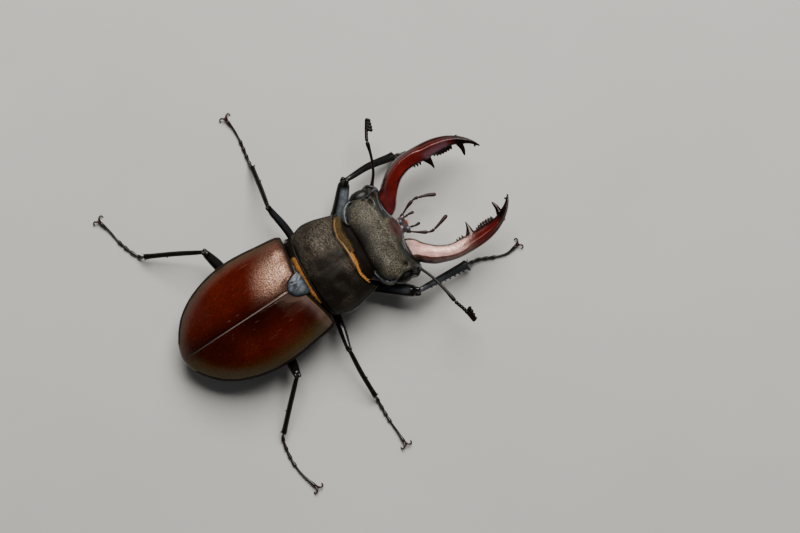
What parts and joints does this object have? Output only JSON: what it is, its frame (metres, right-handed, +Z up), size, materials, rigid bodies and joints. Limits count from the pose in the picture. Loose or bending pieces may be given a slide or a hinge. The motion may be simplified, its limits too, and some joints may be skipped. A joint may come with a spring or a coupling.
{
  "type": "stag beetle model",
  "caption": "Life-size standing male stag beetle with open antler-like jaws, elbowed feelers, domed wing cases and splayed legs.",
  "frame": {"origin": "middle of the footprint on the floor, under the bounding box centre", "axes": "+Z up; the head faces -Y; +X is towards the beetle's own left"},
  "size_m": [0.0684, 0.0664, 0.014],
  "materials": {
    "wing_case_shell": "satin gloss chestnut shell, darker along the middle line and the rim, fine grain",
    "scutellum_shell": "gloss blue-black shell",
    "pronotum_shell": "satin brown-black shell with dense fine grain",
    "head_shell": "satin grey-black shell with coarse grain",
    "mandible_shell": "gloss dark red, black at the teeth, inner edge and tips",
    "mouth_shell": "gloss red-brown",
    "eye_surface": "gloss olive-black with fine facets",
    "leg_shell": "gloss black",
    "foot_shell": "gloss brown-black",
    "feeler_shell": "gloss dark red-brown",
    "underside_shell": "satin brown-black with short golden down",
    "hair": "orange-gold bristles"
  },
  "bodies": {
    "root": {"abdomen": "underside_shell", "antenna_club_left": "feeler_shell", "antenna_club_right": "feeler_shell", "antenna_scape_left": "feeler_shell", "antenna_scape_right": "feeler_shell", "claws_fore_left": "foot_shell", "claws_fore_right": "foot_shell", "claws_hind_left": "foot_shell", "claws_hind_right": "foot_shell", "claws_mid_left": "foot_shell", "claws_mid_right": "foot_shell", "coxa_fore_left": "underside_shell", "coxa_fore_right": "underside_shell", "coxa_hind_left": "underside_shell", "coxa_hind_right": "underside_shell", "coxa_mid_left": "underside_shell", "coxa_mid_right": "underside_shell", "elytron_left": "wing_case_shell", "elytron_right": "wing_case_shell", "eye_left": "eye_surface", "eye_right": "eye_surface", "femur_fore_left": "leg_shell", "femur_fore_right": "leg_shell", "femur_hind_left": "leg_shell", "femur_hind_right": "leg_shell", "femur_mid_left": "leg_shell", "femur_mid_right": "leg_shell", "head": "head_shell", "labial_palp_left": "feeler_shell", "labial_palp_right": "feeler_shell", "labrum": "mouth_shell", "mandible_left": "mandible_shell", "mandible_right": "mandible_shell", "maxillary_palp_left": "feeler_shell", "maxillary_palp_right": "feeler_shell", "pronotum": "pronotum_shell", "prosternum": "underside_shell", "scutellum": "scutellum_shell", "sternum": "underside_shell", "tarsus_fore_left": "foot_shell", "tarsus_fore_right": "foot_shell", "tarsus_hind_left": "foot_shell", "tarsus_hind_right": "foot_shell", "tarsus_mid_left": "foot_shell", "tarsus_mid_right": "foot_shell", "tibia_fore_left": "leg_shell", "tibia_fore_right": "leg_shell", "tibia_hind_left": "leg_shell", "tibia_hind_right": "leg_shell", "tibia_mid_left": "leg_shell", "tibia_mid_right": "leg_shell"}
  },
  "joints": []
}
